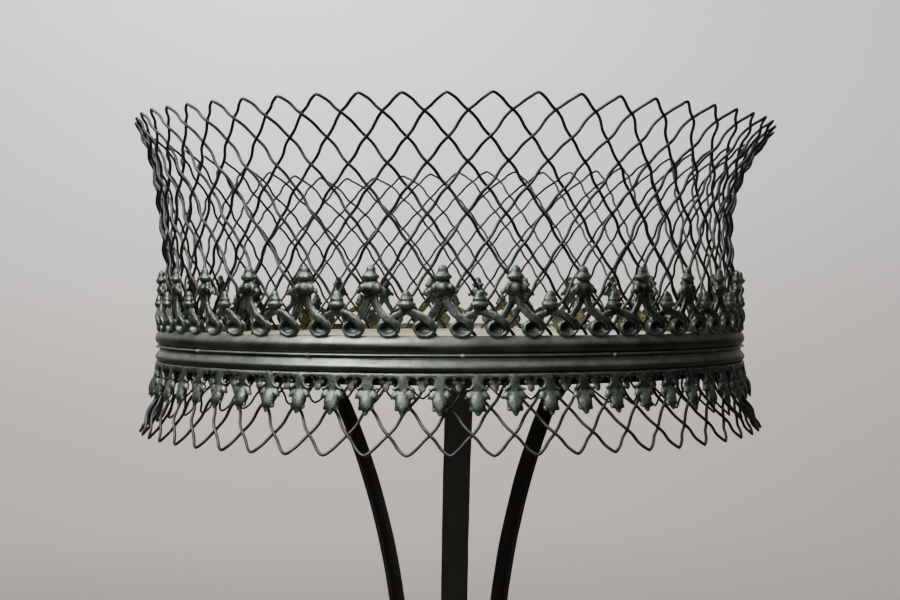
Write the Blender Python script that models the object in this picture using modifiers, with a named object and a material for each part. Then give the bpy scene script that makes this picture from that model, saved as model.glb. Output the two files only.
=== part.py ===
# Wirework plant stand: a woven wire basket held in a moulded band, on three strap-iron legs.
# Metres, +Z up. The origin is on the floor at the stand's axis, and the front faces -Y.

import math

import bmesh
import bpy
from mathutils import Matrix, Vector

# Clearance left between neighbouring pieces
GAP = 0.0003

# Turns of the front rim peak, of the middle front finial and of the pendant under it
FRONT_ANGLE = math.radians(-91.1)
CREST_FRONT_ANGLE = math.radians(-91.1)
PENDANT_FRONT_ANGLE = math.radians(-91.5)

# Woven basket
STAND_HEIGHT = 0.760
BASKET_RADIUS = 0.2092
RIM_PEAKS = 56
HALF_ROWS = 14
ROW_RISE = 0.0158
RIM_END_RISE = 0.0100
SKIRT_END_RISE = 0.0116
ROW_LIFT = 0.0048
LIFTED_ROWS = 9
RIM_FLARE_REACH = 0.0258
RIM_FLARE_HEIGHT = 0.120
RIM_FLARE_POWER = 3.6
SKIRT_FLARE_REACH = 0.0188
SKIRT_FLARE_HEIGHT = 0.0533
SKIRT_FLARE_POWER = 1.6
WIRE_RADIUS = 0.0009
WIRE_SIDES = 3

# Moulded band: an upper bead with a flat top for the crest, a thin fillet, a lower bead
BAND_DROP = 0.1412
BAND_WALL = 0.0017
UPPER_BEAD_HEIGHT = 0.0106
UPPER_BEAD_REACH = 0.0034
FILLET_HEIGHT = 0.0025
FILLET_REACH = 0.0008
LOWER_BEAD_HEIGHT = 0.0093
LOWER_BEAD_REACH = 0.0036
BEAD_STEPS = 5
RING_STEPS = 56

# Hoop inside the wires, and the floor pan that rests on it
HOOP_HEIGHT = 0.0240
HOOP_THICKNESS = 0.0024
HOOP_DROP = 0.0062
PAN_THICKNESS = 0.0010
PAN_STEPS = 48

# Rivet heads on the band's fillet
BAND_RIVETS = 14
BAND_RIVET_HEIGHT = 0.0014
RIVET_STEPS = 8

# Trims: one bay is the space from one boss to the next
TRIM_BAYS = 62
TRIM_LENGTHS = 6

# Crest on the band's top: heights above the band, half widths from the bay's middle
CREST_THICKNESS = 0.0032
BOSS_RADIUS = 0.0070
BOSS_FOOT = 0.0040
BOSS_MIDDLE = 0.0065
ARM_CROTCH = 0.0115
ARM_APEX = 0.0150
NECK_HALF_WIDTH = 0.0020
TALL_NECK_HEIGHT = 0.0215
TALL_LOBE_HALF_WIDTH = 0.0076
TALL_LOBE_HEIGHT = 0.0290
TALL_COLLAR_HALF_WIDTH = 0.0045
TALL_COLLAR_HEIGHT = 0.0355
TALL_TIP_HEIGHT = 0.0420
SHORT_NECK_HEIGHT = 0.0190
SHORT_COLLAR_HALF_WIDTH = 0.0050
SHORT_COLLAR_HEIGHT = 0.0215
SHORT_TIP_HEIGHT = 0.0285

# Pendant trim under the band: drops below the band, half widths from the bay's middle
PENDANT_THICKNESS = 0.0030
PENDANT_HEIGHT = 0.0248
TONGUE_DROP = 0.0095
NOTCH_DROP = 0.0030
NOTCH_HALF_WIDTH = 0.0050
LEAF_HALF_WIDTH = 0.0066
LEAF_DROP = 0.0115
BULB_HALF_WIDTH = 0.0042
BULB_DROP = 0.0168

# Strap legs, bent from flat bar: tab, arm, knee, bow, toe
LEG_COUNT = 3
FRONT_LEG_ANGLE = math.radians(-86.5)
STRAP_WIDTH = 0.0190
STRAP_THICKNESS = 0.0032
TAB_END = 0.0070
ARM_BELOW_HOOP = 0.0028
TAB_BEND_RADIUS = 0.0060
KNEE_RADIUS = 0.053
WAIST_HEIGHT = 0.332
WAIST_RADIUS = 0.0397
BOW_RADIUS = 0.500
TOE_BEND_RADIUS = 0.030
TOE_LENGTH = 0.014

# Waist ring and the rivets that hold the legs
WAIST_RING_HEIGHT = 0.0160
WAIST_RING_THICKNESS = 0.0032
WAIST_RING_STEPS = 36
LEG_RIVET_RADIUS = 0.0022
LEG_RIVET_HEAD_RADIUS = 0.0042
LEG_RIVET_HEAD_HEIGHT = 0.0024

# Heights that follow from the sizes above
BASKET_BOTTOM = STAND_HEIGHT - RIM_END_RISE - (HALF_ROWS - 2) * ROW_RISE - SKIRT_END_RISE
BAND_TOP = STAND_HEIGHT - BAND_DROP
FILLET_TOP = BAND_TOP - UPPER_BEAD_HEIGHT
BAND_GROOVE = FILLET_TOP - FILLET_HEIGHT
BAND_BOTTOM = BAND_GROOVE - LOWER_BEAD_HEIGHT
HOOP_TOP = BAND_TOP - HOOP_DROP
HOOP_BOTTOM = HOOP_TOP - HOOP_HEIGHT
HOOP_MIDDLE = (HOOP_TOP + HOOP_BOTTOM) / 2
ARM_HEIGHT = HOOP_BOTTOM - ARM_BELOW_HOOP
BAND_RIVET_RADIUS = FILLET_HEIGHT / 2

# Turns and offsets that follow from the sizes above
BAY_ANGLE = 2 * math.pi / TRIM_BAYS
RING_ROUNDING = math.cos(math.pi / RING_STEPS)
BAY_ROUNDING = math.cos(BAY_ANGLE / 2)
WEAVE_OFFSET = WIRE_RADIUS + GAP / 2
WEAVE_DEPTH = WEAVE_OFFSET + WIRE_RADIUS + GAP


def basket_radius(height):
    """The basket's wall: upright in the band, flaring to the rim above and to the skirt below."""
    up = (height - (STAND_HEIGHT - RIM_FLARE_HEIGHT)) / RIM_FLARE_HEIGHT
    down = (BASKET_BOTTOM + SKIRT_FLARE_HEIGHT - height) / SKIRT_FLARE_HEIGHT
    if up > 0:
        return BASKET_RADIUS + RIM_FLARE_REACH * up**RIM_FLARE_POWER
    if down > 0:
        return BASKET_RADIUS + SKIRT_FLARE_REACH * down**SKIRT_FLARE_POWER
    return BASKET_RADIUS


def wall_slope(height):
    step = ROW_RISE / 10
    return (basket_radius(height + step) - basket_radius(height - step)) / (2 * step)


def outside_wires(height):
    """The least radius at a height that clears the woven wires on their outer side."""
    return basket_radius(height) + WEAVE_DEPTH * math.hypot(1.0, wall_slope(height))


# Radii that follow from the basket's wall
BAND_INNER = max(outside_wires(BAND_TOP), outside_wires(BAND_BOTTOM)) / RING_ROUNDING
BAND_FACE = BAND_INNER + BAND_WALL
CREST_INNER = max(outside_wires(BAND_TOP), outside_wires(BAND_TOP + TALL_TIP_HEIGHT)) / BAY_ROUNDING
PENDANT_INNER = outside_wires(BAND_BOTTOM) / BAY_ROUNDING
HOOP_OUTER = BASKET_RADIUS - WEAVE_DEPTH
HOOP_INNER = HOOP_OUTER - HOOP_THICKNESS
TAB_RADIUS = HOOP_INNER * RING_ROUNDING - GAP - STRAP_THICKNESS / 2


def clear_scene():
    for old in list(bpy.data.objects):
        bpy.data.objects.remove(old, do_unlink=True)


def new_collection(name):
    made = bpy.data.collections.new(name)
    bpy.context.scene.collection.children.link(made)
    return made


clear_scene()
stand = new_collection("wirework_plant_stand")
helpers = new_collection("cutters")


def new_metal(name, colour, roughness, metallic):
    metal = bpy.data.materials.new(name)
    metal.use_nodes = True
    shader = metal.node_tree.nodes["Principled BSDF"]
    shader.inputs["Base Color"].default_value = (*colour, 1.0)
    shader.inputs["Roughness"].default_value = roughness
    shader.inputs["Metallic"].default_value = metallic
    return metal


wire_metal = new_metal("blackened_wire", (0.030, 0.031, 0.032), 0.55, 0.8)
band_metal = new_metal("patinated_band", (0.085, 0.090, 0.078), 0.45, 0.85)
trim_metal = new_metal("patinated_trim", (0.070, 0.080, 0.066), 0.55, 0.8)
strap_metal = new_metal("black_strap_iron", (0.022, 0.021, 0.021), 0.50, 0.75)
hoop_metal = new_metal("dark_hoop_iron", (0.030, 0.028, 0.025), 0.60, 0.75)
pan_metal = new_metal("painted_pan", (0.52, 0.53, 0.42), 0.60, 0.0)
rivet_metal = new_metal("worn_rivet", (0.110, 0.112, 0.100), 0.45, 0.85)


def ring_point(radius, angle, height):
    return Vector((radius * math.cos(angle), radius * math.sin(angle), height))


def radial_frame(angle):
    """Local X points outward, local Y points up, local Z runs along the ring."""
    outward = ring_point(1.0, angle, 0.0)
    up = Vector((0.0, 0.0, 1.0))
    return Matrix((outward, up, outward.cross(up))).transposed().to_4x4()


def add_object(name, data, metal, collection=stand):
    made = bpy.data.objects.new(name, data)
    if metal:
        data.materials.append(metal)
    collection.objects.link(made)
    return made


def hide_helper(helper):
    helper.hide_render = True
    helper.display_type = "WIRE"


# Turned pieces

def turned(name, profile, steps, metal, closed=False):
    """A profile of (radius, height) points, down its outer side, turned about the Z axis."""
    mesh = bpy.data.meshes.new(name)
    count = len(profile)
    edges = [(i, i + 1) for i in range(count - 1)]
    if closed:
        edges.append((count - 1, 0))
    mesh.from_pydata([(radius, 0.0, height) for radius, height in profile], edges, [])
    piece = add_object(name, mesh, metal)
    screw = piece.modifiers.new("Turn", "SCREW")
    screw.axis = "Z"
    screw.steps = steps
    screw.render_steps = steps
    screw.use_merge_vertices = True
    screw.merge_threshold = 0.00001
    screw.use_smooth_shade = True
    return piece


def bead(top, height, reach):
    """Points down a half-round bead on the band's face, without its two ends."""
    points = []
    for i in range(1, BEAD_STEPS):
        turn = math.pi * i / BEAD_STEPS
        points.append((BAND_FACE + reach * math.sin(turn), top - height * (1 - math.cos(turn)) / 2))
    return points


def add_band():
    profile = [(BAND_FACE, BAND_TOP)]
    profile += bead(BAND_TOP, UPPER_BEAD_HEIGHT, UPPER_BEAD_REACH)
    profile.append((BAND_FACE + FILLET_REACH, FILLET_TOP))
    profile.append((BAND_FACE, BAND_GROOVE))
    profile += bead(BAND_GROOVE, LOWER_BEAD_HEIGHT, LOWER_BEAD_REACH)
    profile.append((BAND_FACE, BAND_BOTTOM))
    profile.append((BAND_INNER, BAND_BOTTOM))
    profile.append((BAND_INNER, BAND_TOP))
    turned("band_moulding", profile, RING_STEPS, band_metal, closed=True)


def add_pan():
    """A flat sheet floor that rests on the hoop and stops just inside the wires."""
    edge = HOOP_OUTER
    bottom = HOOP_TOP + GAP
    top = bottom + PAN_THICKNESS
    profile = [(0.0, top), (edge, top), (edge, bottom), (0.0, bottom)]
    turned("floor_pan", profile, PAN_STEPS, pan_metal)


def rivet_profile(head_radius, head_height, shank_radius, shank_length):
    profile = [(0.0, head_height)]
    profile.append((head_radius * math.sin(math.radians(45)), head_height * math.cos(math.radians(45))))
    profile.append((head_radius, 0.0))
    if shank_length:
        profile.append((shank_radius, 0.0))
        profile.append((shank_radius, -shank_length))
    profile.append((0.0, -shank_length))
    return profile


def add_rivet(name, angle, radius, height, outward, profile):
    """A rivet whose head faces along the radius, outward or towards the axis."""
    rivet = turned(name, profile, RIVET_STEPS, rivet_metal)
    tilt = Matrix.Rotation(math.radians(90 if outward else -90), 4, "Y")
    rivet.matrix_world = Matrix.Translation(ring_point(radius, angle, height)) @ (
        Matrix.Rotation(angle, 4, "Z") @ tilt
    )
    return rivet


def drill(piece, name, holes, length):
    """Cuts round holes along the radius at (angle, radius, height) through a piece."""
    drills = bmesh.new()
    for angle, radius, height in holes:
        place = Matrix.Translation(ring_point(radius, angle, height)) @ (
            Matrix.Rotation(angle, 4, "Z") @ Matrix.Rotation(math.radians(90), 4, "Y")
        )
        bmesh.ops.create_cone(
            drills,
            cap_ends=True,
            segments=RIVET_STEPS,
            radius1=LEG_RIVET_RADIUS + GAP,
            radius2=LEG_RIVET_RADIUS + GAP,
            depth=length,
            matrix=place,
        )
    mesh = bpy.data.meshes.new(name)
    drills.to_mesh(mesh)
    drills.free()
    cutter = add_object(name, mesh, None, helpers)
    hide_helper(cutter)
    cut = piece.modifiers.new("Drill", "BOOLEAN")
    cut.operation = "DIFFERENCE"
    cut.solver = "EXACT"
    cut.object = cutter


# Woven basket

def row_height(row):
    """Height of a row of crossings: 0 is the rim's peaks, HALF_ROWS the skirt's valleys.

    The rows between rim and band are woven a little high, most of all the middle ones.
    """
    if row == 0:
        return STAND_HEIGHT
    if row == HALF_ROWS:
        return BASKET_BOTTOM
    lift = ROW_LIFT * math.sin(math.pi * row / LIFTED_ROWS) ** 2 if row < LIFTED_ROWS else 0.0
    return STAND_HEIGHT - RIM_END_RISE - (row - 1) * ROW_RISE + lift


def wall_normal(angle, height):
    return (ring_point(1.0, angle, 0.0) + Vector((0.0, 0.0, -wall_slope(height)))).normalized()


def wire_profile():
    curve = bpy.data.curves.new("wire_section", "CURVE")
    curve.dimensions = "2D"
    section = curve.splines.new("POLY")
    section.points.add(WIRE_SIDES - 1)
    for i, point in enumerate(section.points):
        turn = -2 * math.pi * i / WIRE_SIDES
        point.co = (WIRE_RADIUS * math.cos(turn), WIRE_RADIUS * math.sin(turn), 0.0, 1.0)
    section.use_cyclic_u = True
    profile = add_object("wire_section", curve, None, helpers)
    hide_helper(profile)
    return profile


def wire_points(first_step, steps):
    """One wire's way round the basket: down to a valley, up to a peak, over and under in turn."""
    points = []
    half_pitch = math.pi / RIM_PEAKS
    for i in range(steps):
        phase = i % (2 * HALF_ROWS)
        going_down = phase < HALF_ROWS
        row = phase if going_down else 2 * HALF_ROWS - phase
        angle = FRONT_ANGLE + (first_step + i) * half_pitch
        height = row_height(row)
        side = 0 if row in (0, HALF_ROWS) else (1 if going_down == (row % 2 == 1) else -1)
        point = ring_point(basket_radius(height), angle, height)
        points.append(point + side * WEAVE_OFFSET * wall_normal(angle, height))
    return points


def add_wires():
    profile = wire_profile()
    wires = math.gcd(RIM_PEAKS, HALF_ROWS)
    steps = 2 * HALF_ROWS * RIM_PEAKS // wires
    for w in range(wires):
        name = f"lattice_wire_{w + 1:02d}"
        curve = bpy.data.curves.new(name, "CURVE")
        curve.dimensions = "3D"
        curve.bevel_mode = "OBJECT"
        curve.bevel_object = profile
        path = curve.splines.new("POLY")
        path.points.add(steps - 1)
        for point, place in zip(path.points, wire_points(2 * w, steps)):
            point.co = (*place, 1.0)
        path.use_cyclic_u = True
        add_object(name, curve, wire_metal)


# Trims

def both_sides(right_half):
    """Mirrors an outline that runs up its right half, so that it closes on the left."""
    return right_half + [(-across, up) for across, up in reversed(right_half) if across]


def crest_bay(tall):
    """Outline of one crest bay as (across, up): half a boss, an arm, the finial, an arm, half a boss."""
    half_bay = BAY_ANGLE * CREST_INNER / 2
    right = [(0.0, ARM_APEX)]
    right.append((half_bay - BOSS_RADIUS, BOSS_MIDDLE))
    right.append((half_bay - BOSS_FOOT, 0.0))
    right.append((half_bay, 0.0))
    right.append((half_bay, ARM_CROTCH))
    if tall:
        right.append((NECK_HALF_WIDTH, TALL_NECK_HEIGHT))
        right.append((TALL_LOBE_HALF_WIDTH, TALL_LOBE_HEIGHT))
        right.append((TALL_COLLAR_HALF_WIDTH, TALL_COLLAR_HEIGHT))
        right.append((0.0, TALL_TIP_HEIGHT))
    else:
        right.append((NECK_HALF_WIDTH, SHORT_NECK_HEIGHT))
        right.append((SHORT_COLLAR_HALF_WIDTH, SHORT_COLLAR_HEIGHT))
        right.append((0.0, SHORT_TIP_HEIGHT))
    return both_sides(right)


def pendant_bay():
    """Outline of one pendant bay as (across, down): tongue, notch, leaf and bulb on each side."""
    half_bay = BAY_ANGLE * PENDANT_INNER / 2
    right = [(0.0, PENDANT_HEIGHT)]
    right.append((BULB_HALF_WIDTH, BULB_DROP))
    right.append((LEAF_HALF_WIDTH, LEAF_DROP))
    right.append((NOTCH_HALF_WIDTH, NOTCH_DROP))
    right.append((half_bay, TONGUE_DROP))
    right.append((half_bay, 0.0))
    return both_sides(right)


def crest_point(bay_angle, across, up):
    return ring_point(CREST_INNER, bay_angle + across / CREST_INNER, BAND_TOP + GAP + up)


def pendant_point(bay_angle, across, down):
    """The pendant trim spreads outward with the skirt that it lies on."""
    height = BAND_BOTTOM - GAP - down
    return ring_point(outside_wires(height) / BAY_ROUNDING, bay_angle + across / PENDANT_INNER, height)


def add_trim(name, front_angle, first_bay, bays, outline_of, point_of, thickness):
    """One length of trim: bays side by side, with a clearance at both ends, thickened outward."""
    sheet = bmesh.new()
    end_trim = GAP / CREST_INNER
    for i in range(bays):
        bay = first_bay + i
        bay_angle = front_angle + bay * BAY_ANGLE
        outline = outline_of(bay)
        widest = max(across for across, _ in outline)
        corners = []
        for across, along in outline:
            nudge = 0.0
            if i == 0 and across == -widest:
                nudge = end_trim
            if i == bays - 1 and across == widest:
                nudge = -end_trim
            corners.append(sheet.verts.new(point_of(bay_angle + nudge, across, along)))
        sheet.faces.new(corners)
    bmesh.ops.remove_doubles(sheet, verts=sheet.verts, dist=GAP / 10)
    raised = bmesh.ops.extrude_face_region(sheet, geom=sheet.faces[:])
    for corner in raised["geom"]:
        if isinstance(corner, bmesh.types.BMVert):
            corner.co += corner.co.to_2d().normalized().to_3d() * thickness
    bmesh.ops.recalc_face_normals(sheet, faces=sheet.faces)
    mesh = bpy.data.meshes.new(name)
    sheet.to_mesh(mesh)
    sheet.free()
    return add_object(name, mesh, trim_metal)


def add_trims():
    """Equal lengths of trim, the first across the front, and the last cut short where they meet."""
    bays = math.ceil(TRIM_BAYS / TRIM_LENGTHS)
    for i in range(TRIM_LENGTHS):
        first = i * bays - bays // 2
        count = min(bays, TRIM_BAYS - i * bays)
        add_trim(
            f"crest_trim_{i + 1}",
            CREST_FRONT_ANGLE,
            first,
            count,
            lambda bay: crest_bay(tall=bay % 2 == 0),
            crest_point,
            CREST_THICKNESS,
        )
        add_trim(
            f"pendant_trim_{i + 1}",
            PENDANT_FRONT_ANGLE,
            first,
            count,
            lambda bay: pendant_bay(),
            pendant_point,
            PENDANT_THICKNESS,
        )


# Strap legs

def arc(centre, radius, start_degrees, end_degrees, steps):
    points = []
    for i in range(steps + 1):
        turn = math.radians(start_degrees + (end_degrees - start_degrees) * i / steps)
        points.append((centre[0] + radius * math.cos(turn), centre[1] + radius * math.sin(turn)))
    return points


def leg_centreline():
    """(radius, height) points along the bar: tab on the hoop, arm, knee, bow past the waist, toe."""
    bow_centre = (WAIST_RADIUS + BOW_RADIUS, WAIST_HEIGHT)
    knee_sine = (ARM_HEIGHT - WAIST_HEIGHT - KNEE_RADIUS) / (BOW_RADIUS - KNEE_RADIUS)
    toe_height = STRAP_THICKNESS / 2
    toe_sine = (WAIST_HEIGHT - toe_height - TOE_BEND_RADIUS) / (BOW_RADIUS - TOE_BEND_RADIUS)
    knee_degrees = math.degrees(math.asin(knee_sine))
    toe_degrees = math.degrees(math.asin(toe_sine))
    knee_cosine = math.cos(math.radians(knee_degrees))
    toe_cosine = math.cos(math.radians(toe_degrees))
    knee_centre = (bow_centre[0] - (BOW_RADIUS - KNEE_RADIUS) * knee_cosine, ARM_HEIGHT - KNEE_RADIUS)
    toe_centre = (bow_centre[0] - (BOW_RADIUS - TOE_BEND_RADIUS) * toe_cosine, toe_height + TOE_BEND_RADIUS)
    tab_centre = (TAB_RADIUS - TAB_BEND_RADIUS, ARM_HEIGHT + TAB_BEND_RADIUS)
    points = [(TAB_RADIUS, HOOP_MIDDLE + TAB_END)]
    points += arc(tab_centre, TAB_BEND_RADIUS, 0, -90, 3)
    points += arc(knee_centre, KNEE_RADIUS, 90, 180 - knee_degrees, 5)
    points += arc(bow_centre, BOW_RADIUS, 180 - knee_degrees, 180, 6)[1:]
    points += arc(bow_centre, BOW_RADIUS, 180, 180 + toe_degrees, 8)[1:]
    points += arc(toe_centre, TOE_BEND_RADIUS, 180 + toe_degrees, 270, 4)[1:]
    points.append((toe_centre[0] + TOE_LENGTH, toe_height))
    return points


def strap_outline(centreline, thickness):
    """Both faces of a bar that follows a centreline, as one closed outline."""
    left = []
    right = []
    for i, (radius, height) in enumerate(centreline):
        before = Vector(centreline[max(i - 1, 0)])
        after = Vector(centreline[min(i + 1, len(centreline) - 1)])
        here = Vector((radius, height))
        ways = [way.normalized() for way in (here - before, after - here) if way.length > 0]
        along = sum(ways, Vector((0.0, 0.0))).normalized()
        reach = thickness / 2 / along.dot(ways[0])
        side = Vector((-along.y, along.x)) * reach
        left.append(here + side)
        right.append(here - side)
    return left + right[::-1]


def flat_bar(name, outline, width, metal):
    """A closed outline in local X and Y, extruded to a width centred on local Z, as a welded mesh."""
    curve = bpy.data.curves.new(name, "CURVE")
    curve.dimensions = "2D"
    curve.fill_mode = "BOTH"
    curve.extrude = width / 2
    path = curve.splines.new("POLY")
    path.points.add(len(outline) - 1)
    for point, place in zip(path.points, outline):
        point.co = (place[0], place[1], 0.0, 1.0)
    path.use_cyclic_u = True
    guide = add_object(name + "_outline", curve, None, helpers)
    bpy.context.view_layer.update()
    graph = bpy.context.evaluated_depsgraph_get()
    mesh = bpy.data.meshes.new_from_object(guide.evaluated_get(graph))
    bpy.data.objects.remove(guide, do_unlink=True)
    bar = bmesh.new()
    bar.from_mesh(mesh)
    bmesh.ops.remove_doubles(bar, verts=bar.verts, dist=GAP / 30)
    bmesh.ops.recalc_face_normals(bar, faces=bar.faces)
    bar.to_mesh(mesh)
    bar.free()
    mesh.name = name
    return add_object(name, mesh, metal)


def add_legs():
    outline = strap_outline(leg_centreline(), STRAP_THICKNESS)
    hoop_profile = [(HOOP_OUTER, HOOP_TOP), (HOOP_OUTER, HOOP_BOTTOM)]
    hoop_profile += [(HOOP_INNER, HOOP_BOTTOM), (HOOP_INNER, HOOP_TOP)]
    hoop = turned("inner_hoop", hoop_profile, RING_STEPS, hoop_metal, closed=True)
    ring_outer = WAIST_RADIUS - STRAP_THICKNESS / 2 - GAP
    ring_inner = ring_outer - WAIST_RING_THICKNESS
    ring_top = WAIST_HEIGHT + WAIST_RING_HEIGHT / 2
    ring_bottom = WAIST_HEIGHT - WAIST_RING_HEIGHT / 2
    ring_profile = [(ring_outer, ring_top), (ring_outer, ring_bottom)]
    ring_profile += [(ring_inner, ring_bottom), (ring_inner, ring_top)]
    waist_ring = turned("waist_ring", ring_profile, WAIST_RING_STEPS, strap_metal, closed=True)

    tab_face = TAB_RADIUS - STRAP_THICKNESS / 2
    waist_face = WAIST_RADIUS + STRAP_THICKNESS / 2
    drill_length = 2 * (STRAP_THICKNESS + HOOP_THICKNESS + WAIST_RING_THICKNESS)
    tab_holes = []
    waist_holes = []
    for i in range(LEG_COUNT):
        angle = FRONT_LEG_ANGLE + 2 * math.pi * i / LEG_COUNT
        tab_hole = (angle, TAB_RADIUS, HOOP_MIDDLE)
        waist_hole = (angle, WAIST_RADIUS, WAIST_HEIGHT)
        tab_holes.append(tab_hole)
        waist_holes.append(waist_hole)
        leg = flat_bar(f"leg_{i + 1}", outline, STRAP_WIDTH, strap_metal)
        leg.matrix_world = radial_frame(angle)
        drill(leg, f"leg_drill_{i + 1}", [tab_hole, waist_hole], drill_length)
        tab_shank = HOOP_OUTER * RING_ROUNDING - tab_face
        tab_rivet = rivet_profile(
            LEG_RIVET_HEAD_RADIUS, LEG_RIVET_HEAD_HEIGHT, LEG_RIVET_RADIUS, tab_shank
        )
        add_rivet(f"leg_rivet_{i + 1}", angle, tab_face - GAP, HOOP_MIDDLE, False, tab_rivet)
        waist_shank = waist_face + GAP - ring_inner
        waist_rivet = rivet_profile(
            LEG_RIVET_HEAD_RADIUS, LEG_RIVET_HEAD_HEIGHT, LEG_RIVET_RADIUS, waist_shank
        )
        add_rivet(f"waist_rivet_{i + 1}", angle, waist_face + GAP, WAIST_HEIGHT, True, waist_rivet)
    drill(hoop, "hoop_drill", tab_holes, drill_length)
    drill(waist_ring, "waist_ring_drill", waist_holes, drill_length)


def add_band_rivets():
    """Rivet heads along the fillet, each over the middle of a wire mesh opening."""
    nearest_row = min(range(1, HALF_ROWS), key=lambda row: abs(row_height(row) - BAND_GROOVE))
    profile = rivet_profile(BAND_RIVET_RADIUS, BAND_RIVET_HEIGHT, 0.0, 0.0)
    for i in range(BAND_RIVETS):
        step = 2 * round(i * RIM_PEAKS / BAND_RIVETS) + (nearest_row + 1) % 2
        angle = FRONT_ANGLE + step * math.pi / RIM_PEAKS
        height = BAND_GROOVE + FILLET_HEIGHT / 2
        radius = BAND_FACE + FILLET_REACH + GAP
        add_rivet(f"band_rivet_{i + 1:02d}", angle, radius, height, True, profile)


add_wires()
add_band()
add_pan()
add_trims()
add_legs()
add_band_rivets()
bpy.context.view_layer.update()
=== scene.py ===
from math import asin, atan2, ceil, copysign, cos, degrees, hypot, pi, radians, sin

import bmesh
import bpy
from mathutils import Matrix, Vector, noise


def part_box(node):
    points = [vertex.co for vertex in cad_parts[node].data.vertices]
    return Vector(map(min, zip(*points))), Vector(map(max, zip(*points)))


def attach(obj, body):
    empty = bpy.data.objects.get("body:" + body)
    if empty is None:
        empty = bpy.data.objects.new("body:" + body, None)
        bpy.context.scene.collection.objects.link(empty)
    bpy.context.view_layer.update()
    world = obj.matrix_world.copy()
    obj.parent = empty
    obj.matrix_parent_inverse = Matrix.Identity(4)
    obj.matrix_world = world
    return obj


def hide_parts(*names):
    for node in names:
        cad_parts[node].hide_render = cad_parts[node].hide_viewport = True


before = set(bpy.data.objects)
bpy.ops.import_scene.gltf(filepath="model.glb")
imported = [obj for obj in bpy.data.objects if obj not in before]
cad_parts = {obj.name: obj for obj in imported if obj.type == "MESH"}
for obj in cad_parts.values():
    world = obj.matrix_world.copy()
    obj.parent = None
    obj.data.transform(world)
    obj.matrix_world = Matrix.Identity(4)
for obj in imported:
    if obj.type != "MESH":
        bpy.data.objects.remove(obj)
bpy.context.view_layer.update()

millimetre = 0.001
clearance = 0.0003  # left between neighbouring pieces
frontAngle = radians(-91.1)  # a peak of the rim, and the middle finial of the front crest


def nodeRadii(node):
    lengths = [hypot(point.co.x, point.co.y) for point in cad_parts[node].data.vertices]
    return min(lengths), max(lengths)


bandInner = nodeRadii("band_moulding")[0]
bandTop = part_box("band_moulding")[1][2]
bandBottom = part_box("band_moulding")[0][2]
hoopInner = nodeRadii("inner_hoop")[0]
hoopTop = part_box("inner_hoop")[1][2]
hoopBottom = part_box("inner_hoop")[0][2]
crestInner = nodeRadii("crest_trim_1")[0]


def ringPlace(radius, angle, height):
    return Vector((radius * cos(angle), radius * sin(angle), height))


def upright(height):
    return Vector((0.0, 0.0, height))


def turns(count):
    # even steps round a full turn
    return [2 * pi * i / count for i in range(count)]


def arcPoints(centre, radius, start, end, steps):
    points = []
    for i in range(steps + 1):
        turn = radians(start + (end - start) * i / steps)
        points.append((centre[0] + radius * cos(turn), centre[1] + radius * sin(turn)))
    return points


def softStep(x):
    x = min(max(x, 0.0), 1.0)
    return x * x * (3 - 2 * x)


def newObject(name, data):
    thing = bpy.data.objects.new(name, data)
    bpy.context.scene.collection.objects.link(thing)
    return thing


def addPiece(name, mesh, material, slotName, *nodes):
    mesh.name = name
    mesh.shade_smooth()
    mesh.materials.append(material)
    piece = newObject(name, mesh)
    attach(piece, "root")
    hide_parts(*nodes)


def meshFrom(places, faces):
    mesh = bpy.data.meshes.new("shape")
    mesh.from_pydata([tuple(place) for place in places], [], faces)
    mesh.validate()
    return mesh


def ringFaces(rings, sides, closed=False):
    # quads between rings of points that lie one after the other
    faces = []
    for i in range(rings if closed else rings - 1):
        for j in range(sides):
            a = i * sides + j
            b = i * sides + (j + 1) % sides
            step = (i + 1) % rings * sides
            faces.append((a, b, step + (j + 1) % sides, step + j))
    return faces


def skinRings(form, first, sides):
    # quads between the rings of points added since first, and a cap at each end
    places, faces = form
    rings = (len(places) - first) // sides
    for face in ringFaces(rings, sides):
        faces.append(tuple(first + k for k in face))
    faces.append(tuple(first + k for k in reversed(range(sides))))
    faces.append(tuple(first + (rings - 1) * sides + k for k in range(sides)))


# Shader groups that several finishes share

def newGroup(name, inputs, outputs):
    group = bpy.data.node_groups.new(name, "ShaderNodeTree")
    for label, kind, value in inputs:
        socket = group.interface.new_socket(label, in_out="INPUT", socket_type=kind)
        socket.default_value = value
    for label, kind in outputs:
        group.interface.new_socket(label, in_out="OUTPUT", socket_type=kind)
    entry = group.nodes.new("NodeGroupInput")
    leave = group.nodes.new("NodeGroupOutput")
    return group, entry.outputs, leave.inputs


def feed(tree, socket, value):
    # the value is another socket or a plain one
    if isinstance(value, bpy.types.NodeSocket):
        tree.links.new(value, socket)
    else:
        socket.default_value = value


def addNode(tree, kind, settings=None, **links):
    node = tree.nodes.new(kind)
    for key, value in (settings or {}).items():
        setattr(node, key, value)
    for label, value in links.items():
        key = int(label[1:]) if label[1:].isdigit() else label.replace("_", " ")  # i0 is the first input
        feed(tree, node.inputs[key], value)
    return node


def addMath(tree, operation, a, b):
    return addNode(tree, "ShaderNodeMath", {"operation": operation}, i0=a, i1=b).outputs[0]


def addRange(tree, value, low, high, toLow=0.0, toHigh=1.0):
    values = {"Value": value, "From_Min": low, "From_Max": high, "To_Min": toLow, "To_Max": toHigh}
    smooth = {"interpolation_type": "SMOOTHSTEP"}
    return addNode(tree, "ShaderNodeMapRange", smooth, **values).outputs["Result"]


def addMix(tree, share, first, second):
    colours = {"i0": share, "i6": first, "i7": second}  # the inputs of the node's colour form
    return addNode(tree, "ShaderNodeMix", {"data_type": "RGBA"}, **colours).outputs[2]


def addNoise(tree, where, scale, detail, roughness=0.55):
    values = {"Vector": where, "Scale": scale, "Detail": detail, "Roughness": roughness}
    return addNode(tree, "ShaderNodeTexNoise", None, **values).outputs["Fac"]


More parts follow.
